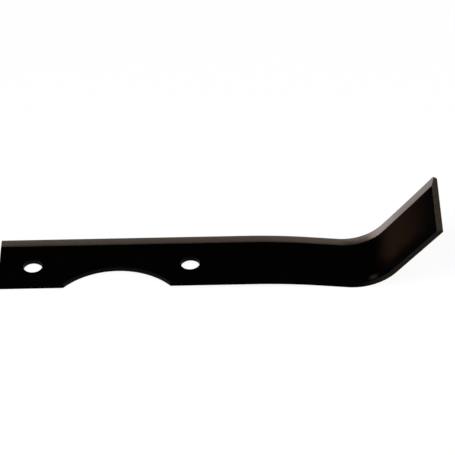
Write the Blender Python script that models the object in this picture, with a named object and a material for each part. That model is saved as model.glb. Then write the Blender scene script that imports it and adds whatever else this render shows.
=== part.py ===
"""Rotary tiller blade: one flat steel bar, punched, notched, ground and pressed to shape.

Metres, +Z up. The origin lies on the seating face (the under face), midway between the
two bolt holes and on the bar's centre line. +X runs along the bar towards the bent tip,
and +Y towards the ground cutting edge. The blade is drawn first as a flat blank, then
every point of the blank is carried onto the pressed shape.
"""
import math

import bmesh
import bpy
from mathutils import Vector

MM = 0.001

# Bar stock
BAR_WIDTH = 50.0 * MM
BAR_THICKNESS = 4.0 * MM
BAR_CORNER = 0.3 * MM

# Bolt holes, on one line parallel to the notched edge
HOLE_DIAMETER = 13.5 * MM
HOLE_SPACING = 112.0 * MM
HOLE_TO_NOTCHED_EDGE = 20.0 * MM
HOLE_TO_SQUARE_END = 24.0 * MM
HOLE_LIP = 0.3 * MM

# Hub notch, a circular bite out of the edge between the holes
NOTCH_RADIUS = 51.0 * MM
NOTCH_DEPTH = 17.0 * MM
NOTCH_SHIFT = 4.3 * MM
NOTCH_LIP = 0.3 * MM

# Ground edges, both on the upper face. The cutting side spreads outward from the bend to the tip
CUTTING_RUN = 8.8 * MM
CUTTING_DROP = 1.5 * MM
CUTTING_SPREAD = 3.0 * MM
TIP_RUN = 2.3 * MM
TIP_DROP = 1.6 * MM
TIP_CORNER = 3.0 * MM

# Pressed shape: a slight dip, then the tip turned up, both about lines that lie askew
BEND_SKEW = math.radians(8.8)
HOLE_TO_DIP = 42.4 * MM
DIP_RADIUS = 420.0 * MM
DIP_ANGLE = math.radians(6.2)
DIP_TO_BEND = 19.9 * MM
BEND_INNER_RADIUS = 34.3 * MM
BEND_ANGLE = math.radians(57.0)
TIP_LENGTH = 54.8 * MM

# Fineness of the round forms
CORNER_STEPS = 3
TIP_CORNER_CUTS = 3
DIP_STEPS = 8
BEND_STEPS = 28
HOLE_SIDES = 56
NOTCH_SIDES = 168
CUTTER_OVERSHOOT = 1.0 * MM

# Black paint
PAINT_COLOR = (0.012, 0.012, 0.013, 1.0)
PAINT_ROUGHNESS = 0.38

HALF_WIDTH = BAR_WIDTH / 2
MID_THICKNESS = BAR_THICKNESS / 2
BEND_MID_RADIUS = BEND_INNER_RADIUS + MID_THICKNESS
HOLE_LINE = HOLE_TO_NOTCHED_EDGE - HALF_WIDTH
SQUARE_END = -HOLE_SPACING / 2 - HOLE_TO_SQUARE_END
DIP_START = HOLE_SPACING / 2 + HOLE_TO_DIP

# Each leg of the pressed shape: its length square to the bend lines, and how far it turns
LEGS = (
    (DIP_RADIUS * DIP_ANGLE, -DIP_ANGLE),
    (DIP_TO_BEND, 0.0),
    (BEND_MID_RADIUS * BEND_ANGLE, BEND_ANGLE),
)
BEND_END = sum(length for length, turn in LEGS)
SPREAD_START = DIP_START + (DIP_RADIUS * DIP_ANGLE + DIP_TO_BEND) / math.cos(BEND_SKEW)
TIP_END = DIP_START + BEND_END / math.cos(BEND_SKEW) + TIP_LENGTH


def clear_scene():
    """Removes every object that the file opened with."""
    for obj in list(bpy.data.objects):
        bpy.data.objects.remove(obj)


def paint():
    """Black paint over the whole blade."""
    material = bpy.data.materials.new("black_paint")
    material.use_nodes = True
    shader = material.node_tree.nodes["Principled BSDF"]
    shader.inputs["Base Color"].default_value = PAINT_COLOR
    shader.inputs["Roughness"].default_value = PAINT_ROUGHNESS
    shader.inputs["Metallic"].default_value = 0.0
    return material


def rounded_corner(centre, start_angle, end_angle):
    """Points of one corner of the bar's section, as an arc about its centre."""
    points = []
    for step in range(CORNER_STEPS + 1):
        angle = start_angle + (end_angle - start_angle) * step / CORNER_STEPS
        across = centre[0] + BAR_CORNER * math.cos(angle)
        height = centre[1] + BAR_CORNER * math.sin(angle)
        points.append((across, height))
    return points


def bar_section():
    """The bar's section as (across, height) points, from the notched edge round to it again.

    The cutting edge slopes down from the crease to a land that keeps the rest of the thickness.
    """
    near = -HALF_WIDTH + BAR_CORNER
    far = HALF_WIDTH - BAR_CORNER
    low = BAR_CORNER
    high = BAR_THICKNESS - BAR_CORNER
    slope = math.atan2(CUTTING_DROP, CUTTING_RUN)
    land_top = BAR_THICKNESS - CUTTING_DROP
    land_centre = land_top - BAR_CORNER * (1 - math.sin(slope)) / math.cos(slope)
    section = rounded_corner((near, low), -math.pi, -math.pi / 2)
    section += rounded_corner((far, low), -math.pi / 2, 0.0)
    section += rounded_corner((far, land_centre), 0.0, math.pi / 2 - slope)
    section.append((HALF_WIDTH - CUTTING_RUN, BAR_THICKNESS))
    section += rounded_corner((near, high), math.pi / 2, math.pi)
    return section


def leg_position(distance):
    """Reach, height and slope of the mid-thickness line, a distance past the start of the dip."""
    reach = 0.0
    height = 0.0
    slope = 0.0
    left = distance
    for length, turn in LEGS:
        travelled = min(left, length)
        if travelled <= 0.0:
            return reach + left, height, slope
        part = turn * travelled / length
        chord = travelled if turn == 0.0 else 2 * length / turn * math.sin(part / 2)
        reach += chord * math.cos(slope + part / 2)
        height += chord * math.sin(slope + part / 2)
        slope += part
        left -= travelled
    return reach + left * math.cos(slope), height + left * math.sin(slope), slope


def pressed(along, across, height):
    """Carries a point of the flat blank onto the pressed blade."""
    cosine = math.cos(BEND_SKEW)
    sine = math.sin(BEND_SKEW)
    square_to_bend = (along - DIP_START) * cosine + across * sine
    beside_bend = across * cosine - (along - DIP_START) * sine
    reach, rise, slope = leg_position(square_to_bend)
    above_middle = height - MID_THICKNESS
    reach -= above_middle * math.sin(slope)
    rise += above_middle * math.cos(slope)
    return Vector((
        DIP_START + reach * cosine - beside_bend * sine,
        reach * sine + beside_bend * cosine,
        MID_THICKNESS + rise,
    ))


def bend_stations():
    """Distances past the start of the dip where the bar gets a ring of points."""
    stations = [0.0]
    for (length, turn), steps in zip(LEGS, (DIP_STEPS, 1, BEND_STEPS)):
        start = stations[-1]
        stations += [start + length * step / steps for step in range(1, steps + 1)]
    return stations


def spread(along):
    """How far the cutting side has moved outward at a place along the blank."""
    share = max(0.0, (along - SPREAD_START) / (TIP_END - SPREAD_START))
    return CUTTING_SPREAD * share ** 2


def add_ring(mesh, section, along_at):
    """Adds one ring of the bar, whose place along the blank depends on the place across it."""
    ring = []
    for across, height in section:
        if across > 0.0:
            across += spread(along_at(across))
        ring.append(mesh.verts.new(pressed(along_at(across), across, height)))
    return ring


def skin_rings(mesh, rings):
    """Closes a row of equal rings into one solid: a wall of quads and a cap at each end."""
    for first, second in zip(rings, rings[1:]):
        for index, point in enumerate(first):
            mesh.faces.new((first[index - 1], point, second[index], second[index - 1]))
    mesh.faces.new(rings[0])
    mesh.faces.new(rings[-1])


def sweep_bar(mesh):
    """The pressed bar: square ends, and rings that follow the skewed bend lines between them."""
    section = bar_section()
    rings = [add_ring(mesh, section, lambda across: SQUARE_END)]
    for station in bend_stations():
        rings.append(add_ring(
            mesh, section,
            lambda across: DIP_START + (station - across * math.sin(BEND_SKEW)) / math.cos(BEND_SKEW),
        ))
    rings.append(add_ring(mesh, section, lambda across: TIP_END))
    skin_rings(mesh, rings)


def tip_directions():
    """The flat tip's own directions: along it, across it to the cutting side, and upward."""
    foot = pressed(TIP_END, 0.0, 0.0)
    along = foot - pressed(TIP_END - TIP_RUN, 0.0, 0.0)
    across = pressed(TIP_END, HALF_WIDTH, 0.0) - foot
    upward = pressed(TIP_END, 0.0, BAR_THICKNESS) - foot
    return along.normalized(), across.normalized(), upward.normalized()


def slice_tip(mesh, place, outward):
    """Takes away what lies outside a plane through the flat tip, and closes the cut."""
    along = tip_directions()[0]
    middle = pressed(TIP_END - TIP_LENGTH / 2, 0.0, MID_THICKNESS)
    points = [point for point in mesh.verts if (point.co - middle).dot(along) > 0.0]
    faces = list(dict.fromkeys(face for point in points for face in point.link_faces))
    edges = list(dict.fromkeys(edge for face in faces for edge in face.edges))
    corners = list(dict.fromkeys(corner for face in faces for corner in face.verts))
    cut = bmesh.ops.bisect_plane(
        mesh, geom=corners + edges + faces, plane_co=place, plane_no=outward.normalized(),
        clear_outer=True,
    )
    rim = [item for item in cut["geom_cut"] if isinstance(item, bmesh.types.BMEdge)]
    bmesh.ops.contextual_create(mesh, geom=rim)


def grind_tip(mesh):
    """Grinds a short bevel across the tip's end, and rounds the corner at the cutting edge."""
    along, across, upward = tip_directions()
    inner = pressed(TIP_END - TIP_RUN, 0.0, BAR_THICKNESS)
    slice_tip(mesh, inner, along * TIP_DROP + upward * TIP_RUN)
    centre = pressed(TIP_END - TIP_CORNER, HALF_WIDTH + CUTTING_SPREAD - TIP_CORNER, 0.0)
    for step in range(1, TIP_CORNER_CUTS + 1):
        angle = math.pi / 2 * step / (TIP_CORNER_CUTS + 1)
        outward = along * math.cos(angle) + across * math.sin(angle)
        slice_tip(mesh, centre + outward * TIP_CORNER, outward)


def finished_object(name, mesh, material):
    """Turns a bmesh into a named object with its faces pointing out."""
    bmesh.ops.recalc_face_normals(mesh, faces=mesh.faces[:])
    data = bpy.data.meshes.new(name)
    mesh.to_mesh(data)
    mesh.free()
    data.materials.append(material)
    data.shade_smooth()
    data.set_sharp_from_angle(angle=math.radians(25.0))
    obj = bpy.data.objects.new(name, data)
    bpy.context.scene.collection.objects.link(obj)
    return obj


def spool_cutter(name, radius, lip, sides, centre, material):
    """A round cutter whose two ends flare, so that it leaves a small lip at both faces."""
    flare = lip + CUTTER_OVERSHOOT
    outline = (
        (radius + flare, -CUTTER_OVERSHOOT),
        (radius, lip),
        (radius, BAR_THICKNESS - lip),
        (radius + flare, BAR_THICKNESS + CUTTER_OVERSHOOT),
    )
    mesh = bmesh.new()
    rings = []
    for ring_radius, height in outline:
        ring = []
        for side in range(sides):
            angle = 2 * math.pi * side / sides
            x = centre[0] + ring_radius * math.cos(angle)
            y = centre[1] + ring_radius * math.sin(angle)
            ring.append(mesh.verts.new((x, y, height)))
        rings.append(ring)
    skin_rings(mesh, rings)
    cutter = finished_object(name, mesh, material)
    cutter.hide_render = True
    cutter.display_type = "WIRE"
    return cutter


def cut_away(target, cutter):
    """Cuts one shape out of another."""
    cut = target.modifiers.new(cutter.name, "BOOLEAN")
    cut.operation = "DIFFERENCE"
    cut.solver = "EXACT"
    cut.object = cutter


def build():
    """Builds the blade: the pressed bar, then its two bolt holes and the hub notch."""
    clear_scene()
    black = paint()
    mesh = bmesh.new()
    sweep_bar(mesh)
    grind_tip(mesh)
    blade = finished_object("blade", mesh, black)
    for name, side in (("end_hole_cutter", -1), ("tip_hole_cutter", 1)):
        centre = (side * HOLE_SPACING / 2, HOLE_LINE)
        cut_away(blade, spool_cutter(name, HOLE_DIAMETER / 2, HOLE_LIP, HOLE_SIDES, centre, black))
    centre = (NOTCH_SHIFT, -HALF_WIDTH + NOTCH_DEPTH - NOTCH_RADIUS)
    cut_away(blade, spool_cutter("notch_cutter", NOTCH_RADIUS, NOTCH_LIP, NOTCH_SIDES, centre, black))


build()
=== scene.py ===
"""Looks of a rotary tiller blade: the finely modelled blade, its painted finishes and a plain studio.

Metres, +Z up, in the part's own frame. The origin lies on the seating face (the under face),
midway between the two bolt holes. +X runs towards the upturned tip and +Y towards the ground
cutting edge. The blade is modelled as a flat blank with rounded edges. Then every point is
carried onto the pressed shape, and it keeps its place on the blank, which the finishes follow.
"""

import logging
import math
from collections.abc import Mapping, Sequence
from dataclasses import dataclass, field
from enum import Enum

import bmesh
import bpy
from mathutils import Matrix, Vector
from mathutils.geometry import intersect_point_tri_2d


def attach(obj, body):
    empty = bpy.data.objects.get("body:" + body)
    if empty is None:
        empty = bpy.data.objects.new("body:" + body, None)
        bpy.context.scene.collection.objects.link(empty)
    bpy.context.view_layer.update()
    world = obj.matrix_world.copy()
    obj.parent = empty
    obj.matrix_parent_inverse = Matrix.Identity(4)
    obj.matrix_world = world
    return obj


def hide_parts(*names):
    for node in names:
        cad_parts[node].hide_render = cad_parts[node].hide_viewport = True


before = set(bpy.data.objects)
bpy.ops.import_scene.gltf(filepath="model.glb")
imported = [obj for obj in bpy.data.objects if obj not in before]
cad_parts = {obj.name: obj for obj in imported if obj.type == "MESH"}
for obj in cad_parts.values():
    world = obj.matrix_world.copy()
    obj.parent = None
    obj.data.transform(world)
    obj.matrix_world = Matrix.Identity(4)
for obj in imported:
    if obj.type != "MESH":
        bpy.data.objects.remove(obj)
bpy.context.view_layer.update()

LOG = logging.getLogger("tiller_blade")
MM = 0.001
CAD_NODE = "blade"
BODY = "root"
BLANK_PLACE = "blank_place"
UP = Vector((0.0, 0.0, 1.0))

# Soft noise: the finer layers that each use of it has, its middle, and how far it mostly strays
DRIFT_DETAIL = 3.0
MARK_DETAIL = 2.0
RIPPLE_DETAIL = 1.0
WANDER_DETAIL = 2.0
NOISE_MIDDLE = 0.5
NOISE_REACH = 0.25

# How thin the paint lies: the shares of drift and tool marks, and where thinness starts and is full
DRIFT_SHARE = 0.7
MARK_SHARE = 0.3
THIN_FROM = 0.3
THIN_FULL = 0.7

# The normal of a face of the flat blank: how far it leans to the tip where it is dressed, how far it
# rises where it is ground, and how far it rises at most where it is a sheared wall
DRESSED_LEAN = 0.3
GROUND_RISE = 0.15
WALL_RISE = 0.5

# Makes the highest point of the curve share squared times (1 - share) equal to 1
BULGE_SCALE = 27 / 4

# Sockets of the colour mixer, which share their names with others
MIX_SHARE = 0
MIX_FIRST = 6
MIX_SECOND = 7
MIX_RESULT = 2

Colour = tuple[float, float, float]
Span = tuple[float, float, float, float]


def opaque(colour: Colour) -> tuple[float, float, float, float]:
    """The colour as colour sockets take it, with full opacity."""
    return (*colour, 1.0)


def grey(level: float) -> Colour:
    """A neutral colour of that brightness."""
    return (level, level, level)


class Surface(Enum):
    """How a face of the blade was made, as the number of its material slot."""

    ROLLED = 0
    GROUND = 1
    SHEARED = 2
    DRESSED = 3


class Signal:
    """A value that varies over a surface, on which plain arithmetic adds Math nodes."""

    def __init__(self, tree: "ShaderTree", socket: bpy.types.NodeSocket) -> None:
        """Wraps one output socket.

        Args:
            tree: The tree that the socket belongs to.
            socket: The output socket that carries the value.
        """
        self.tree = tree
        self.socket = socket

    def _with(self, operation: str, first: "Signal | float", second: "Signal | float") -> "Signal":
        """Adds one Math node and returns its result."""
        return self.tree.signal("ShaderNodeMath", {"operation": operation}, {0: first, 1: second})

    def __add__(self, other: "Signal | float") -> "Signal":
        """This value plus the other."""
        return self._with("ADD", self, other)

    def __radd__(self, other: float) -> "Signal":
        """A number plus this value."""
        return self._with("ADD", other, self)

    def __sub__(self, other: "Signal | float") -> "Signal":
        """This value less the other."""
        return self._with("SUBTRACT", self, other)

    def __rsub__(self, other: float) -> "Signal":
        """A number less this value."""
        return self._with("SUBTRACT", other, self)

    def __mul__(self, other: "Signal | float") -> "Signal":
        """This value times the other."""
        return self._with("MULTIPLY", self, other)

    def __rmul__(self, other: float) -> "Signal":
        """A number times this value."""
        return self._with("MULTIPLY", other, self)

    def highest(self, other: "Signal | float") -> "Signal":
        """The greater of this value and the other."""
        return self._with("MAXIMUM", self, other)

    def rising(self, low: float, high: float) -> "Signal":
        """A smooth step from 0 to 1.

        Args:
            low: The value at which the step starts.
            high: The value at which it ends. It may lie below low, and then the step falls.

        Returns:
            The step as a signal.
        """
        settings = {"interpolation_type": "SMOOTHSTEP"}
        inputs = {"Value": self, "From Min": low, "From Max": high}
        return self.tree.signal("ShaderNodeMapRange", settings, inputs)

    def within(self, span: Span) -> "Signal":
        """A smooth hill over a span.

        Args:
            span: Where the hill starts, is full, begins to fade and ends.

        Returns:
            The hill, from 0 outside the span to 1 in its middle.
        """
        start, full, fading, end = span
        return self.rising(start, full) * self.rising(end, fading)


Feed = Signal | bpy.types.NodeSocket | float | Sequence[float]


class ShaderTree:
    """The nodes of one material, or of the world."""

    def __init__(self, owner: bpy.types.Material | bpy.types.World) -> None:
        """Empties the owner's node tree.

        Args:
            owner: The material or world that the nodes belong to.
        """
        owner.use_nodes = True
        self.tree = owner.node_tree
        self.tree.nodes.clear()

    def node(self, kind: str, settings: Mapping[str, object],
             inputs: Mapping[int | str, Feed]) -> bpy.types.Node:
        """Adds one node.

        Args:
            kind: The node's type.
            settings: Its properties, which are set before its sockets.
            inputs: What each input socket holds: a value, or the output that it is linked to.

        Returns:
            The new node.
        """
        node = self.tree.nodes.new(kind)
        for name, value in settings.items():
            setattr(node, name, value)
        for key, feed in inputs.items():
            source = feed.socket if isinstance(feed, Signal) else feed
            if isinstance(source, bpy.types.NodeSocket):
                self.tree.links.new(source, node.inputs[key])
            else:
                node.inputs[key].default_value = source
        return node

    def signal(self, kind: str, settings: Mapping[str, object], inputs: Mapping[int | str, Feed],
               output: int | str = 0) -> Signal:
        """Adds one node and wraps one of its outputs.

        Args:
            kind: The node's type.
            settings: Its properties.
            inputs: Its input sockets, as for node().
            output: The output socket, by number or name.

        Returns:
            That output as a signal.
        """
        return Signal(self, self.node(kind, settings, inputs).outputs[output])

    def noise(self, place: Feed, size: float, detail: float) -> Signal:
        """Soft random patches.

        Args:
            place: The coordinates that the noise reads.
            size: The size of one patch, in the units of the coordinates.
            detail: How many finer layers are added.

        Returns:
            The noise, from 0 to 1.
        """
        inputs = {"Vector": place, "Scale": 1 / size, "Detail": detail}
        return self.signal("ShaderNodeTexNoise", {}, inputs)

    def blend(self, share: Signal, first: Signal | Colour, second: Colour) -> Signal:
        """A colour between two.

        Args:
            share: The share of the second colour, from 0 to 1.
            first: The colour at 0.
            second: The colour at 1.

        Returns:
            The mixed colour.
        """
        start = first if isinstance(first, Signal) else opaque(first)
        inputs = {MIX_SHARE: share, MIX_FIRST: start, MIX_SECOND: opaque(second)}
        return self.signal("ShaderNodeMix", {"data_type": "RGBA"}, inputs, MIX_RESULT)

    def wander(self, place: bpy.types.NodeSocket, size: float,
               reach: Sequence[float]) -> bpy.types.NodeSocket:
        """Shifts a place by soft noise, so that what follows it gets an uneven edge.

        Args:
            place: The place.
            size: The size of one wave of the noise.
            reach: How far it shifts the place at most, along each axis.

        Returns:
            The shifted place.
        """
        inputs = {"Vector": place, "Scale": 1 / size, "Detail": WANDER_DETAIL}
        noise = self.node("ShaderNodeTexNoise", {}, inputs).outputs["Color"]
        full_swing = tuple(2 * length for length in reach)
        lowest = tuple(-length for length in reach)
        inputs = {0: noise, 1: full_swing, 2: lowest}
        shift = self.node("ShaderNodeVectorMath", {"operation": "MULTIPLY_ADD"}, inputs).outputs[0]
        return self.node("ShaderNodeVectorMath", {"operation": "ADD"}, {0: place, 1: shift}).outputs[0]

    def finish(self, kind: str, shader: bpy.types.Node) -> None:
        """Links the last shader to the output.

        Args:
            kind: The type of the output node.
            shader: The shader that the output shows.
        """
        self.node(kind, {}, {"Surface": shader.outputs[0]})


@dataclass(frozen=True)
class PaintedLightPatch:
    """A soft patch of painted light: a lighter colour that stands in for a sheen, glint or highlight.

    Attributes:
        colour: The painted colour there, which stands in for light falling on the blade.
        along: Where the patch starts, is full, begins to fade and ends, along the blank.
        across: The same across the blank.
        height: Where it starts and is full, up through the bar.
        unevenness: How far its outline strays.
        wave: The size of one wave of that outline.
    """

    colour: Colour
    along: Span
    across: Span
    height: tuple[float, float]
    unevenness: float = 0.0
    wave: float = 15 * MM

    def share(self, tree: ShaderTree, place: bpy.types.NodeSocket) -> Signal:
        """How fully the patch shows.

        Args:
            tree: The material's nodes.
            place: The place on the blank.

        Returns:
            The share, from 0 to 1.
        """
        strayed = tree.wander(place, self.wave, (self.unevenness, self.unevenness, 0.0))
        parts = tree.node("ShaderNodeSeparateXYZ", {}, {0: strayed})
        along, across, height = (Signal(tree, output) for output in parts.outputs)
        return along.within(self.along) * across.within(self.across) * height.rising(*self.height)


@dataclass(frozen=True)
class PaintedSteel:
    """Black paint on steel that was worked in one way before it was painted.

    Attributes:
        name: The material's name.
        deep: The paint's colour where it lies thick.
        thin: The paint's colour where it lies thin.
        refraction: The paint's index of refraction: the higher, the more it mirrors.
        gleam: The tint of what the paint mirrors.
        roughness: The middle of the paint's roughness.
        roughness_drift: How far the roughness drifts to each side.
        drift_size: The size of the patches in which colour and roughness drift.
        peel_size: The size of the fine ripples of sprayed paint.
        peel_depth: The depth of those ripples.
        mark_size: The size of one tool mark under the paint: along, across and through the bar.
        mark_depth: The depth of those marks.
        patches: Patches of painted sheen, glint and highlight, laid over the paint's colour.
    """

    name: str
    deep: Colour
    thin: Colour
    refraction: float
    gleam: Colour
    roughness: float
    roughness_drift: float
    drift_size: float
    peel_size: float
    peel_depth: float
    mark_size: tuple[float, float, float]
    mark_depth: float
    patches: tuple[PaintedLightPatch, ...] = ()

    def material(self) -> bpy.types.Material:
        """Makes the material.

        Returns:
            The finished material.
        """
        material = bpy.data.materials.new(self.name)
        tree = ShaderTree(material)
        place = tree.node("ShaderNodeAttribute", {"attribute_name": BLANK_PLACE}, {}).outputs["Vector"]
        drift = tree.noise(place, self.drift_size, DRIFT_DETAIL)
        marks = self._tool_marks(tree, place)
        ripples = tree.noise(place, self.peel_size, RIPPLE_DETAIL)
        worked = tree.node("ShaderNodeBump", {}, {"Distance": self.mark_depth, "Height": marks})
        sprayed = tree.node("ShaderNodeBump", {}, {
            "Distance": self.peel_depth, "Height": ripples, "Normal": worked.outputs["Normal"],
        })
        thinness = (drift * DRIFT_SHARE + marks * MARK_SHARE).rising(THIN_FROM, THIN_FULL)
        colour = tree.blend(thinness, self.deep, self.thin)
        # Painted light: each patch blends in a lighter colour that stands in for a sheen, glint or
        # highlight.
        for patch in self.patches:
            colour = tree.blend(patch.share(tree, place), colour, patch.colour)
        spread = (drift - NOISE_MIDDLE) * (self.roughness_drift / NOISE_REACH)
        shader = tree.node("ShaderNodeBsdfPrincipled", {}, {
            "Base Color": colour,
            "Roughness": spread + self.roughness,
            "IOR": self.refraction,
            "Specular Tint": opaque(self.gleam),
            "Normal": sprayed.outputs["Normal"],
        })
        tree.finish("ShaderNodeOutputMaterial", shader)
        return material

    def _tool_marks(self, tree: ShaderTree, place: bpy.types.NodeSocket) -> Signal:
        """Noise drawn out to the size of the tool marks.

        Args:
            tree: The material's nodes.
            place: The place on the blank.

        Returns:
            The marks, from 0 to 1.
        """
        per_metre = tuple(1 / size for size in self.mark_size)
        inputs = {0: place, 1: per_metre}
        stretched = tree.node("ShaderNodeVectorMath", {"operation": "MULTIPLY"}, inputs).outputs[0]
        return tree.noise(stretched, 1.0, MARK_DETAIL)


# Where a patch starts and is full, up through the bar: on its upper face alone, or on all of it
UPPER_FACE = (3.2 * MM, 3.8 * MM)
ALL_HEIGHTS = (-1 * MM, 0.0)

# Painted sheen: a warm brown reflection on the upper face of the upturned tip.
TIP_PAINTED_SHEEN = PaintedLightPatch(
    colour=(0.0175, 0.0087, 0.0050), height=UPPER_FACE, unevenness=6 * MM,
    along=(189 * MM, 207 * MM, 210 * MM, 254 * MM),
    across=(-21 * MM, -6 * MM, 30 * MM, 40 * MM),
)
# Painted reflection: a lighter rim along the near edge of the tip, where the edge mirrors the bright
# floor.
RIM_PAINTED_REFLECTION = PaintedLightPatch(
    colour=(0.0200, 0.0170, 0.0130), height=ALL_HEIGHTS,
    along=(172 * MM, 200 * MM, 255 * MM, 260 * MM),
    across=(-40 * MM, -30 * MM, -24.9 * MM, -24.5 * MM),
)
# Painted glint: a small light spot on the near edge where the main bend starts.
RIM_PAINTED_GLINT = PaintedLightPatch(
    colour=(0.0220, 0.0190, 0.0160), height=UPPER_FACE, unevenness=2 * MM,
    along=(182 * MM, 187 * MM, 187.5 * MM, 193 * MM),
    across=(-24.5 * MM, -21.7 * MM, -21.3 * MM, -18 * MM),
)
# Painted highlight: a bright stretch of the ground cutting edge where it turns up at the bend.
BEVEL_PAINTED_HIGHLIGHT = PaintedLightPatch(
    colour=(0.1500, 0.1370, 0.1340), height=ALL_HEIGHTS, unevenness=5 * MM,
    along=(184 * MM, 200 * MM, 201 * MM, 226 * MM),
    across=(-40 * MM, -30 * MM, 40 * MM, 50 * MM),
)
# Painted highlight: a lighter stretch of the ground cutting edge where the main bend starts.
BEND_START_PAINTED_HIGHLIGHT = PaintedLightPatch(
    colour=(0.0950, 0.0850, 0.0750), height=ALL_HEIGHTS, unevenness=3 * MM,
    along=(158 * MM, 174 * MM, 175 * MM, 190 * MM),
    across=(19.5 * MM, 22.5 * MM, 40 * MM, 50 * MM),
)

FINISHES = {
    Surface.ROLLED: PaintedSteel(
        name="black_paint_on_rolled_steel",
        deep=(0.0006, 0.0005, 0.0004), thin=(0.0012, 0.0010, 0.0008),
        refraction=1.028, gleam=(1.0, 0.88, 0.79),
        roughness=0.30, roughness_drift=0.05, drift_size=14 * MM,
        peel_size=1.1 * MM, peel_depth=0.010 * MM,
        mark_size=(18 * MM, 1.2 * MM, 1.2 * MM), mark_depth=0.006 * MM,
        patches=(TIP_PAINTED_SHEEN, RIM_PAINTED_REFLECTION, RIM_PAINTED_GLINT),
    ),
    Surface.GROUND: PaintedSteel(
        name="black_paint_on_ground_steel",
        deep=(0.0060, 0.0050, 0.0042), thin=(0.0140, 0.0118, 0.0100),
        refraction=2.4, gleam=(1.0, 0.77, 0.75),
        roughness=0.24, roughness_drift=0.03, drift_size=9 * MM,
        peel_size=1.6 * MM, peel_depth=0.004 * MM,
        mark_size=(0.55 * MM, 9 * MM, 9 * MM), mark_depth=0.006 * MM,
        patches=(BEVEL_PAINTED_HIGHLIGHT, BEND_START_PAINTED_HIGHLIGHT),
    ),
    Surface.SHEARED: PaintedSteel(
        name="black_paint_on_sheared_steel",
        deep=(0.0008, 0.0007, 0.0006), thin=(0.0024, 0.0020, 0.0017),
        refraction=1.10, gleam=(1.0, 0.88, 0.79),
        roughness=0.48, roughness_drift=0.06, drift_size=4 * MM,
        peel_size=0.9 * MM, peel_depth=0.012 * MM,
        mark_size=(0.5 * MM, 0.5 * MM, 4.5 * MM), mark_depth=0.030 * MM,
    ),
    # Painted light: the dressed end face gets a lighter copy of the black paint, which stands in for the
    # light that this face catches.
    Surface.DRESSED: PaintedSteel(
        name="black_paint_on_dressed_steel_with_painted_light",
        deep=(0.0330, 0.0256, 0.0190), thin=(0.0490, 0.0384, 0.0278),
        refraction=1.08, gleam=(1.0, 0.85, 0.72),
        roughness=0.45, roughness_drift=0.05, drift_size=5 * MM,
        peel_size=0.9 * MM, peel_depth=0.008 * MM,
        mark_size=(6 * MM, 0.5 * MM, 6 * MM), mark_depth=0.010 * MM,
    ),
}


@dataclass(frozen=True)
class Station:
    """Where a ring of points crosses the blank.

    Attributes:
        distance: How far past the start of the dip, on the centre line and square to the bend lines.
        squareness: How the ring stands: 0 along the bend lines, 1 straight across the bar.
    """

    distance: float
    squareness: float


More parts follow.
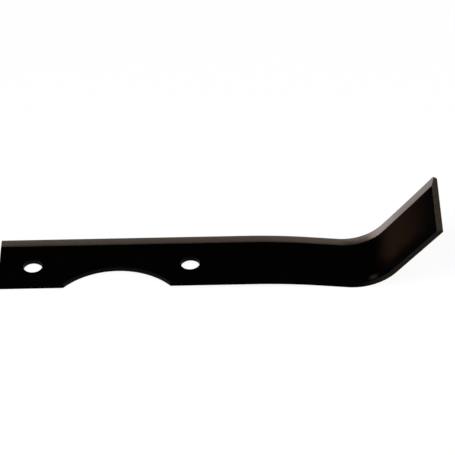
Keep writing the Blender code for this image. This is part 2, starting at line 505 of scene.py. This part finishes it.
@dataclass(frozen=True)
class PressedShape:
    """How the flat blank is pressed: a slight dip, then the tip turned up, about askew lines.

    Attributes:
        middle: The height of the middle of the bar's thickness, which keeps its length.
        skew: How far the bend lines are turned from square to the bar.
        dip_start: Where the dip starts, on the centre line.
        dip_radius: The radius of the dip.
        dip_angle: How far the dip turns downward.
        dip_to_bend: The straight stretch between the dip and the main bend.
        bend_radius: The radius of the main bend, at the middle of the thickness.
        bend_angle: How far the main bend turns upward.
        tip_length: The length of the flat tip, on the centre line.
        spread: How far the cutting side has moved outward at the tip's end.
        dip_steps: The rings of points in the dip.
        bend_steps: The rings of points in the main bend.
        tip_steps: The rings of points in the tip.
    """

    middle: float = 2.0 * MM
    skew: float = math.radians(8.8)
    dip_start: float = 98.4 * MM
    dip_radius: float = 420.0 * MM
    dip_angle: float = math.radians(6.2)
    dip_to_bend: float = 19.9 * MM
    bend_radius: float = 36.3 * MM
    bend_angle: float = math.radians(57.0)
    tip_length: float = 54.8 * MM
    spread: float = 3.0 * MM
    dip_steps: int = 12
    bend_steps: int = 64
    tip_steps: int = 16

    @property
    def legs(self) -> tuple[tuple[float, float, int], ...]:
        """The legs that the middle of the bar follows before the flat tip.

        Returns:
            Each leg's length square to the bend lines, how far it turns upward, and its steps.
        """
        return (
            (self.dip_radius * self.dip_angle, -self.dip_angle, self.dip_steps),
            (self.dip_to_bend, 0.0, 1),
            (self.bend_radius * self.bend_angle, self.bend_angle, self.bend_steps),
        )

    @property
    def tip_end(self) -> float:
        """Where the blank ends, along its centre line."""
        bent = sum(length for length, turn, steps in self.legs)
        return self.dip_start + bent / math.cos(self.skew) + self.tip_length

    @property
    def spread_start(self) -> float:
        """Where the cutting side starts to spread: at the main bend, along the centre line."""
        before = sum(length for length, turn, steps in self.legs[:-1])
        return self.dip_start + before / math.cos(self.skew)

    def stations(self) -> list[Station]:
        """The rings of points that the blank gets past the square end.

        Returns:
            Their stations, from the start of the dip to the tip's end.
        """
        found = [Station(0.0, 0.0)]
        for length, turn, steps in self.legs:
            start = found[-1].distance
            found += [Station(start + length * step / steps, 0.0) for step in range(1, steps + 1)]
        start, reach = found[-1].distance, self.tip_length * math.cos(self.skew)
        shares = [step / self.tip_steps for step in range(1, self.tip_steps + 1)]
        return found + [Station(start + reach * share, share) for share in shares]

    def along_at(self, station: Station, across: float) -> float:
        """The place along the blank of a station's ring, at a place across the bar."""
        askew = across * math.sin(self.skew) * (1 - station.squareness)
        return self.dip_start + (station.distance - askew) / math.cos(self.skew)

    def spread_at(self, along: float) -> float:
        """How far the cutting side has moved outward at a place along the blank."""
        share = max(0.0, (along - self.spread_start) / (self.tip_end - self.spread_start))
        return self.spread * share ** 2

    def middle_line(self, distance: float) -> tuple[float, float, float]:
        """Follows the middle of the bar's thickness through the legs.

        Args:
            distance: How far past the start of the dip, square to the bend lines.

        Returns:
            The reach, the height and the slope there.
        """
        reach, height, slope, left = 0.0, 0.0, 0.0, distance
        for length, turn, steps in self.legs:
            travelled = min(left, length)
            if travelled <= 0.0:
                break
            part = turn * travelled / length
            chord = travelled if turn == 0.0 else 2 * length / turn * math.sin(part / 2)
            reach += chord * math.cos(slope + part / 2)
            height += chord * math.sin(slope + part / 2)
            slope += part
            left -= travelled
        return reach + left * math.cos(slope), height + left * math.sin(slope), slope

    def carry(self, place: Vector) -> Vector:
        """Carries a point of the flat blank onto the pressed blade.

        Args:
            place: The point on the blank: along, across and up.

        Returns:
            The same point of the pressed blade.
        """
        cosine, sine = math.cos(self.skew), math.sin(self.skew)
        past = place.x - self.dip_start
        beside = place.y * cosine - past * sine
        reach, rise, slope = self.middle_line(past * cosine + place.y * sine)
        above = place.z - self.middle
        reach -= above * math.sin(slope)
        rise += above * math.cos(slope)
        return Vector((
            self.dip_start + reach * cosine - beside * sine,
            reach * sine + beside * cosine,
            self.middle + rise,
        ))


@dataclass
class TillerBlade:
    """The whole blade: a rolled bar, punched, notched, ground, rounded at its edges and pressed.

    Attributes:
        width: The bar's width.
        thickness: The bar's thickness.
        edge_rounding: The size of the rounding of its edges.
        rounding_steps: The facets of that rounding.
        rounded_from: The least angle between two faces whose edge is rounded.
        crisp_from: The least angle at which shading keeps an edge crisp.
        square_end: Where the square end lies, along the bar.
        hole_diameter: The diameter of both bolt holes.
        hole_spacing: The distance between their centres.
        hole_line: Where their centres lie, across the bar.
        hole_sides: The facets of a hole.
        notch_radius: The radius of the hub notch.
        notch_depth: How deep it cuts into the long edge.
        notch_shift: How far its middle lies towards the tip.
        notch_sides: The facets of the notch's whole circle.
        cutting_run: The width of the ground cutting edge.
        cutting_drop: How far that edge drops below the broad face.
        cutting_bulge: How far its ground face bulges above a plane.
        cutting_steps: The strips of its ground face past the crease.
        crease_reach: How far the soft crease reaches to each side.
        crease_steps: The strips of the soft crease.
        tip_run: The length of the ground face at the tip's end.
        tip_drop: How far that face drops.
        tip_corner: The radius of the tip's corner at the cutting edge.
        tip_corner_cuts: The flat cuts that round that corner.
        weld_reach: How close points of the blank have to lie to become one.
        cutter_overshoot: How far the cutters reach past the bar.
        shape: How the blank is pressed.
    """

    width: float = 50.0 * MM
    thickness: float = 4.0 * MM
    edge_rounding: float = 0.3 * MM
    rounding_steps: int = 4
    rounded_from: float = math.radians(45.0)
    crisp_from: float = math.radians(30.0)
    square_end: float = -80.0 * MM
    hole_diameter: float = 13.5 * MM
    hole_spacing: float = 112.0 * MM
    hole_line: float = -5.0 * MM
    hole_sides: int = 112
    notch_radius: float = 51.0 * MM
    notch_depth: float = 17.0 * MM
    notch_shift: float = 4.3 * MM
    notch_sides: int = 320
    cutting_run: float = 8.8 * MM
    cutting_drop: float = 1.5 * MM
    cutting_bulge: float = 0.06 * MM
    cutting_steps: int = 10
    crease_reach: float = 2.4 * MM
    crease_steps: int = 10
    tip_run: float = 2.3 * MM
    tip_drop: float = 1.6 * MM
    tip_corner: float = 3.0 * MM
    tip_corner_cuts: int = 7
    weld_reach: float = 0.1 * MM
    cutter_overshoot: float = 2.0 * MM
    shape: PressedShape = field(default_factory=PressedShape)

    @property
    def half_width(self) -> float:
        """From the bar's centre line to its long edges."""
        return self.width / 2

    @property
    def cutting_slope(self) -> float:
        """The angle of the ground cutting edge to the broad face."""
        return math.atan2(self.cutting_drop, self.cutting_run)

    def build(self) -> bpy.types.Object:
        """Models the blade and dresses it.

        Returns:
            The finished object.
        """
        flat = self._blank()
        cutters = self._cutters()
        self._add_modifiers(flat, cutters)
        depsgraph = bpy.context.evaluated_depsgraph_get()
        mesh = bpy.data.meshes.new_from_object(flat.evaluated_get(depsgraph))
        for helper in (flat, *cutters):
            bpy.data.objects.remove(helper)
        self._dress(mesh)
        self._press(mesh)
        mesh.shade_smooth()
        mesh.set_sharp_from_angle(angle=self.crisp_from)
        blade = bpy.data.objects.new("pressed_blade", mesh)
        bpy.context.scene.collection.objects.link(blade)
        normals = blade.modifiers.new("even_shading", "WEIGHTED_NORMAL")
        normals.keep_sharp = True
        return blade

    def _drop_at(self, past: float) -> float:
        """How far the upper face lies below the broad face.

        Args:
            past: The distance across the bar, past the crease.

        Returns:
            The drop: a soft curve through the crease, then the bevel, which bulges slightly.
        """
        if past < self.crease_reach:
            reached = max(0.0, past + self.crease_reach)
            flat = reached ** 2 / (4 * self.crease_reach)
        else:
            flat = past
        share = max(0.0, past / self.cutting_run)
        bulge = BULGE_SCALE * self.cutting_bulge * share ** 2 * (1 - share)
        return flat * self.cutting_drop / self.cutting_run - bulge

    def _section(self) -> list[tuple[float, float]]:
        """The bar's section, with square corners and a soft crease.

        Returns:
            Its points as (across, height), round from the under face's notched side.
        """
        crease = self.half_width - self.cutting_run
        bevel_step = (self.cutting_run - self.crease_reach) / self.cutting_steps
        soft_step = 2 * self.crease_reach / self.crease_steps
        pasts = [self.cutting_run - bevel_step * step for step in range(self.cutting_steps)]
        pasts += [self.crease_reach - soft_step * step for step in range(self.crease_steps + 1)]
        points = [(-self.half_width, 0.0), (self.half_width, 0.0)]
        points += [(crease + past, self.thickness - self._drop_at(past)) for past in pasts]
        points.append((-self.half_width, self.thickness))
        return points

    def _ring(self, mesh: bmesh.types.BMesh, station: Station) -> list[bmesh.types.BMVert]:
        """Adds one ring of the blank's points, its cutting side spread outward towards the tip.

        Args:
            mesh: The mesh that gets the points.
            station: Where the ring lies.

        Returns:
            The points of the ring.
        """
        ring = []
        for across, height in self._section():
            if across > 0.0:
                across += self.shape.spread_at(self.shape.along_at(station, across))
            ring.append(mesh.verts.new((self.shape.along_at(station, across), across, height)))
        return ring

    def _blank(self) -> bpy.types.Object:
        """Makes the flat bar with its ground edges, and with a ring of points at every station.

        Returns:
            The blank, with square corners and without its holes and its notch.
        """
        mesh = bmesh.new()
        rings = [[mesh.verts.new((self.square_end, y, z)) for y, z in self._section()]]
        rings += [self._ring(mesh, station) for station in self.shape.stations()]
        skin_rings(mesh, rings)
        start = Vector((self.shape.tip_end - self.tip_run, 0.0, self.thickness))
        slice_off(mesh, start, Vector((self.tip_drop, 0.0, self.tip_run)))
        across = self.half_width + self.shape.spread - self.tip_corner
        centre = Vector((self.shape.tip_end - self.tip_corner, across, 0.0))
        for step in range(1, self.tip_corner_cuts + 1):
            angle = math.pi / 2 * step / (self.tip_corner_cuts + 1)
            outward = Vector((math.cos(angle), math.sin(angle), 0.0))
            slice_off(mesh, centre + outward * self.tip_corner, outward)
        bmesh.ops.remove_doubles(mesh, verts=mesh.verts[:], dist=self.weld_reach)
        return object_from(mesh, "flat_blank")

    def _cutters(self) -> list[bpy.types.Object]:
        """Makes round cutters for the two bolt holes and the hub notch.

        Returns:
            The three cutters.
        """
        low, high = -self.cutter_overshoot, self.thickness + self.cutter_overshoot
        rounds = [
            (self.hole_diameter / 2, self.hole_sides, side * self.hole_spacing / 2, self.hole_line)
            for side in (-1, 1)
        ]
        notch_centre = -self.half_width + self.notch_depth - self.notch_radius
        rounds.append((self.notch_radius, self.notch_sides, self.notch_shift, notch_centre))
        cutters = []
        for radius, sides, x, y in rounds:
            mesh = bmesh.new()
            angles = [2 * math.pi * side / sides for side in range(sides)]
            skin_rings(mesh, [
                [mesh.verts.new((x + radius * math.cos(a), y + radius * math.sin(a), z)) for a in angles]
                for z in (low, high)
            ])
            cutters.append(object_from(mesh, "round_cutter"))
        return cutters

    def _add_modifiers(self, flat: bpy.types.Object, cutters: Sequence[bpy.types.Object]) -> None:
        """Cuts the holes and the notch, then rounds all edges but the creases of the ground faces.

        Args:
            flat: The blank.
            cutters: What is cut out of it.
        """
        for cutter in cutters:
            cut = flat.modifiers.new("cut", "BOOLEAN")
            cut.operation = "DIFFERENCE"
            cut.solver = "EXACT"
            cut.object = cutter
        rounding = flat.modifiers.new("rounding", "BEVEL")
        rounding.width = self.edge_rounding
        rounding.segments = self.rounding_steps
        rounding.limit_method = "ANGLE"
        rounding.angle_limit = self.rounded_from

    def _surface_of(self, normal: Vector, centre: Vector) -> Surface:
        """Says how a face of the flat blank was made.

        Args:
            normal: The face's normal.
            centre: The face's centre.

        Returns:
            The kind of surface.
        """
        at_tip = centre.x > self.shape.tip_end - self.tip_run - self.tip_corner
        if at_tip and normal.x > DRESSED_LEAN:
            return Surface.DRESSED
        past_crease = centre.y > self.half_width - self.cutting_run - self.crease_reach
        if past_crease and normal.z > GROUND_RISE and normal.y > math.sin(self.cutting_slope / 2):
            return Surface.GROUND
        on_long_edge = abs(centre.y) > self.half_width - self.edge_rounding
        if abs(normal.z) < WALL_RISE and not on_long_edge:
            return Surface.SHEARED
        return Surface.ROLLED

    def _dress(self, mesh: bpy.types.Mesh) -> None:
        """Gives each face of the flat blank its finish, and each point its place on the blank.

        Args:
            mesh: The flat blank, with its edges rounded.
        """
        mesh.materials.clear()
        for surface in Surface:
            mesh.materials.append(FINISHES[surface].material())
        for face in mesh.polygons:
            face.material_index = self._surface_of(face.normal, face.center).value
        places = mesh.attributes.new(BLANK_PLACE, "FLOAT_VECTOR", "POINT")
        for point, place in zip(mesh.vertices, places.data):
            place.vector = point.co

    def _press(self, mesh: bpy.types.Mesh) -> None:
        """Carries every point of the flat blank onto the pressed shape.

        Args:
            mesh: The flat blank, which becomes the pressed blade.
        """
        for point in mesh.vertices:
            point.co = self.shape.carry(point.co)
        mesh.update()


def skin_rings(mesh: bmesh.types.BMesh, rings: Sequence[Sequence[bmesh.types.BMVert]]) -> None:
    """Closes a row of equal rings into one solid.

    Args:
        mesh: The mesh that the rings are in.
        rings: The rings in order. Walls join neighbours, and the first and last get a cap.
    """
    for first, second in zip(rings, rings[1:]):
        for index, point in enumerate(first):
            mesh.faces.new((first[index - 1], point, second[index], second[index - 1]))
    mesh.faces.new(rings[0])
    mesh.faces.new(rings[-1])


def slice_off(mesh: bmesh.types.BMesh, place: Vector, outward: Vector) -> None:
    """Takes away what lies outside a plane, and closes the cut.

    Args:
        mesh: The closed mesh.
        place: A point of the plane.
        outward: The direction of the side that goes.
    """
    everything = [*mesh.verts, *mesh.edges, *mesh.faces]
    cut = bmesh.ops.bisect_plane(
        mesh, geom=everything, plane_co=place, plane_no=outward.normalized(), clear_outer=True,
    )
    rim = [item for item in cut["geom_cut"] if isinstance(item, bmesh.types.BMEdge)]
    bmesh.ops.contextual_create(mesh, geom=rim)


def object_from(mesh: bmesh.types.BMesh, name: str) -> bpy.types.Object:
    """Turns a mesh into an object in the scene, with its faces pointing out.

    Args:
        mesh: The mesh, which is freed.
        name: The object's name.

    Returns:
        The new object.
    """
    bmesh.ops.recalc_face_normals(mesh, faces=mesh.faces[:])
    data = bpy.data.meshes.new(name)
    mesh.to_mesh(data)
    mesh.free()
    obj = bpy.data.objects.new(name, data)
    bpy.context.scene.collection.objects.link(obj)
    return obj


@dataclass(frozen=True)
class RestingPlace:
    """The plane that the blade comes to rest on."""

    point: Vector
    normal: Vector

    @classmethod
    def under(cls, solid: bpy.types.Object) -> "RestingPlace":
        """Finds the face of the solid's convex hull that lies below its centre of mass.

        Args:
            solid: A closed mesh object.

        Returns:
            The resting plane, its normal pointing up.
        """
        centre = mass_centre(solid.data)
        hull = bmesh.new()
        hull.from_mesh(solid.data)
        made = bmesh.ops.convex_hull(hull, input=hull.verts[:])
        spare = {*made["geom_interior"], *made["geom_unused"]}
        bmesh.ops.delete(hull, geom=[item for item in spare if isinstance(item, bmesh.types.BMVert)])
        for corners in (face.verts for face in made["geom"] if isinstance(face, bmesh.types.BMFace)):
            a, b, c = (corner.co.copy() for corner in corners[:3])
            normal = (b - a).cross(c - a)
            if normal.z and intersect_point_tri_2d(centre.xy, a.xy, b.xy, c.xy):
                normal = normal.normalized() * math.copysign(1.0, normal.z)
                if (centre - a).dot(normal) > 0:
                    hull.free()
                    return cls(a, normal)
        raise ValueError("no face of the hull lies below the centre of mass")


def mass_centre(mesh: bpy.types.Mesh) -> Vector:
    """The centre of a closed mesh's volume.

    Each triangle makes a tetrahedron with the origin. Their signed volumes add up to the mesh's,
    and the centre of each is the mean of its four corners, one of which is the origin.

    Args:
        mesh: The closed mesh.

    Returns:
        Its centre.
    """
    mesh.calc_loop_triangles()
    total, weighted = 0.0, Vector()
    for triangle in mesh.loop_triangles:
        a, b, c = (mesh.vertices[index].co for index in triangle.vertices)
        volume = a.dot(b.cross(c)) / 6
        total += volume
        weighted += (a + b + c) * (volume / 4)
    return weighted / total


@dataclass(frozen=True)
class Floor:
    """A plain pale floor, laid where the blade comes to rest.

    Attributes:
        half_size: From the floor's middle to its sides.
        drop: How far the floor lies below the blade, so that their faces don't meet.
        whiteness: The floor's colour as it throws light back onto the blade.
        shaded_share: The part of its shown brightness that shadows can dim.
        own_light: The part that they can't.
    """

    half_size: float = 12.0
    drop: float = 0.05 * MM
    whiteness: float = 0.82
    shaded_share: float = 0.10
    own_light: float = 0.93

    def build(self, place: RestingPlace) -> bpy.types.Object:
        """Lays the floor.

        Args:
            place: The plane that the blade rests on.

        Returns:
            The floor.
        """
        mesh = bmesh.new()
        bmesh.ops.create_grid(mesh, x_segments=1, y_segments=1, size=self.half_size)
        floor = object_from(mesh, "floor")
        turn = UP.rotation_difference(place.normal).to_matrix().to_4x4()
        floor.matrix_world = Matrix.Translation(place.point - place.normal * self.drop) @ turn
        floor.data.materials.append(self._material())
        return floor

    def _material(self) -> bpy.types.Material:
        """Makes a floor that is white to the camera and in reflections, and matt to light.

        Returns:
            The floor's material, whose shown white is only dimmed by shadows.
        """
        material = bpy.data.materials.new("pale_floor")
        tree = ShaderTree(material)
        rays = tree.node("ShaderNodeLightPath", {}, {})
        seen = Signal(tree, rays.outputs["Is Camera Ray"])
        for name in ("Is Glossy Ray", "Is Transmission Ray"):
            seen = seen.highest(Signal(tree, rays.outputs[name]))
        matt = tree.node("ShaderNodeBsdfDiffuse", {}, {"Color": opaque(grey(self.whiteness))})
        dimmed = tree.node("ShaderNodeBsdfDiffuse", {}, {"Color": opaque(grey(self.shaded_share))})
        glow = tree.node("ShaderNodeEmission", {}, {"Color": opaque(grey(self.own_light))})
        shown = tree.node("ShaderNodeAddShader", {}, {0: dimmed.outputs[0], 1: glow.outputs[0]})
        inputs = {0: seen, 1: matt.outputs[0], 2: shown.outputs[0]}
        tree.finish("ShaderNodeOutputMaterial", tree.node("ShaderNodeMixShader", {}, inputs))
        return material


@dataclass(frozen=True)
class StudioAir:
    """What surrounds the blade: a dark ceiling, a pale horizon, a card behind and a low round light.

    Attributes:
        tint: The colour of it all, which is slightly warm.
        ceiling: The brightness overhead.
        horizon: The brightness near the horizon.
        band_rise: Where the pale horizon starts to fade and where it ends, as angles.
        card: The brightness of the card behind the blade.
        card_rise: Where the card starts to fade and where it ends, as angles.
        card_side: How far to each side of straight behind the card fades, as angles.
        round_light: The brightness of the low round light.
        round_side: How far to the left of straight behind that light stands.
        round_reach: How far from its centre that light starts to fade and where it ends, as angles.
    """

    tint: Colour = (1.0, 0.93, 0.78)
    ceiling: float = 0.03
    horizon: float = 0.45
    band_rise: tuple[float, float] = (math.radians(5.0), math.radians(14.0))
    card: float = 0.49
    card_rise: tuple[float, float] = (math.radians(14.0), math.radians(34.0))
    card_side: tuple[float, float] = (math.radians(28.0), math.radians(40.0))
    round_light: float = 1.35
    round_side: float = math.radians(32.0)
    round_reach: tuple[float, float] = (math.radians(9.0), math.radians(18.0))

    def build(self) -> None:
        """Makes the world."""
        world = bpy.data.worlds.new("studio_air")
        bpy.context.scene.world = world
        tree = ShaderTree(world)
        toward = tree.node("ShaderNodeTexCoord", {}, {}).outputs["Generated"]
        parts = tree.node("ShaderNodeSeparateXYZ", {}, {0: toward})
        behind = Signal(tree, parts.outputs["Y"])
        leftward = 0.0 - Signal(tree, parts.outputs["X"])
        upward = Signal(tree, parts.outputs["Z"])
        band = (1 - upward.rising(*(math.sin(angle) for angle in self.band_rise))) * self.horizon
        low_card = 1 - upward.rising(*(math.sin(angle) for angle in self.card_rise))
        near, far = (math.cos(angle) for angle in self.card_side)
        card = low_card * behind.rising(far, near) * self.card
        toward_light = behind * math.cos(self.round_side) + leftward * math.sin(self.round_side)
        near, far = (math.cos(angle) for angle in self.round_reach)
        round_light = toward_light.rising(far, near) * self.round_light
        light = band.highest(card).highest(round_light).highest(self.ceiling)
        shader = tree.node("ShaderNodeBackground", {}, {"Color": opaque(self.tint), "Strength": light})
        tree.finish("ShaderNodeOutputWorld", shader)


@dataclass(frozen=True)
class SoftLamp:
    """One square softbox, aimed at the middle of the blade.

    Attributes:
        name: The lamp's name.
        place: Where it hangs.
        side: The length of its sides.
        power: Its power, in watts.
    """

    name: str
    place: tuple[float, float, float]
    side: float
    power: float

    def build(self, target: Vector) -> bpy.types.Object:
        """Hangs the lamp.

        Args:
            target: The point that it is aimed at.

        Returns:
            The lamp.
        """
        light = bpy.data.lights.new(self.name, "AREA")
        light.shape = "SQUARE"
        light.size = self.side
        light.energy = self.power
        lamp = bpy.data.objects.new(self.name, light)
        lamp.location = self.place
        lamp.rotation_euler = (target - Vector(self.place)).to_track_quat("-Z", "Y").to_euler()
        bpy.context.scene.collection.objects.link(lamp)
        return lamp


@dataclass(frozen=True)
class PhotoCamera:
    """The photograph's view: a long lens from the notched side, looking down.

    Attributes:
        aim: The point of the seating plane that the lens points at.
        distance: How far the camera stands from it.
        azimuth: How far the view is turned from +Y.
        elevation: How far above the horizon the camera stands.
        roll: How far the picture is turned about the view.
        lens: The focal length, for a picture as wide as the sensor.
        sensor: The width of the sensor.
        sight: The nearest and the farthest distance that the camera sees.
    """

    aim: tuple[float, float, float] = (81.83 * MM, 37.13 * MM, 0.0)
    distance: float = 2750.7 * MM
    azimuth: float = math.radians(-2.542)
    elevation: float = math.radians(40.764)
    roll: float = math.radians(-2.821)
    lens: float = 302.85
    sensor: float = 36.0
    sight: tuple[float, float] = (0.1, 100.0)

    def build(self) -> bpy.types.Object:
        """Sets up the camera as the scene's own.

        Returns:
            The camera.
        """
        level = math.cos(self.elevation)
        forward = Vector((
            math.sin(self.azimuth) * level, math.cos(self.azimuth) * level, -math.sin(self.elevation),
        ))
        right = Vector((math.cos(self.azimuth), -math.sin(self.azimuth), 0.0))
        right.rotate(Matrix.Rotation(-self.roll, 3, forward))
        upward = right.cross(forward)
        data = bpy.data.cameras.new("photo_camera")
        data.lens = self.lens
        data.sensor_width = self.sensor
        data.clip_start, data.clip_end = self.sight
        camera = bpy.data.objects.new("photo_camera", data)
        turn = Matrix((right, upward, -forward)).transposed().to_4x4()
        camera.matrix_world = Matrix.Translation(Vector(self.aim) - forward * self.distance) @ turn
        bpy.context.scene.collection.objects.link(camera)
        bpy.context.scene.camera = camera
        return camera


@dataclass(frozen=True)
class Studio:
    """The camera, the lamps, the air and the floor. None of them is part of the blade."""

    camera: PhotoCamera = PhotoCamera()
    air: StudioAir = StudioAir()
    floor: Floor = Floor()
    lamps: tuple[SoftLamp, ...] = (
        SoftLamp(name="key_lamp", place=(-0.55, -0.75, 1.70), side=1.0, power=22.0),
        SoftLamp(name="fill_lamp", place=(0.95, -0.60, 1.25), side=0.9, power=9.0),
    )

    def build(self, rest: RestingPlace) -> None:
        """Sets up the studio round the blade.

        Args:
            rest: The plane that the blade rests on.
        """
        scene = bpy.context.scene
        scene.view_settings.view_transform = "Standard"
        self.air.build()
        camera = self.camera.build()
        floor = self.floor.build(rest)
        for lamp in self.lamps:
            lamp.build(Vector(self.camera.aim))
        LOG.info("studio: %s, %s and %d lamps", camera.name, floor.name, len(self.lamps))


def main() -> None:
    """Builds the blade and its studio in order, and reports each piece."""
    logging.basicConfig(level=logging.INFO, format="%(name)s: %(message)s")
    blade = TillerBlade().build()
    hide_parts(CAD_NODE)
    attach(blade, BODY)
    LOG.info("piece %s: %d faces", blade.name, len(blade.data.polygons))
    rest = RestingPlace.under(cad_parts[CAD_NODE])
    tilt = math.degrees(rest.normal.angle(UP))
    LOG.info("the blade rests %.2f degrees off its seating face", tilt)
    Studio().build(rest)


if __name__ == "__main__":
    main()
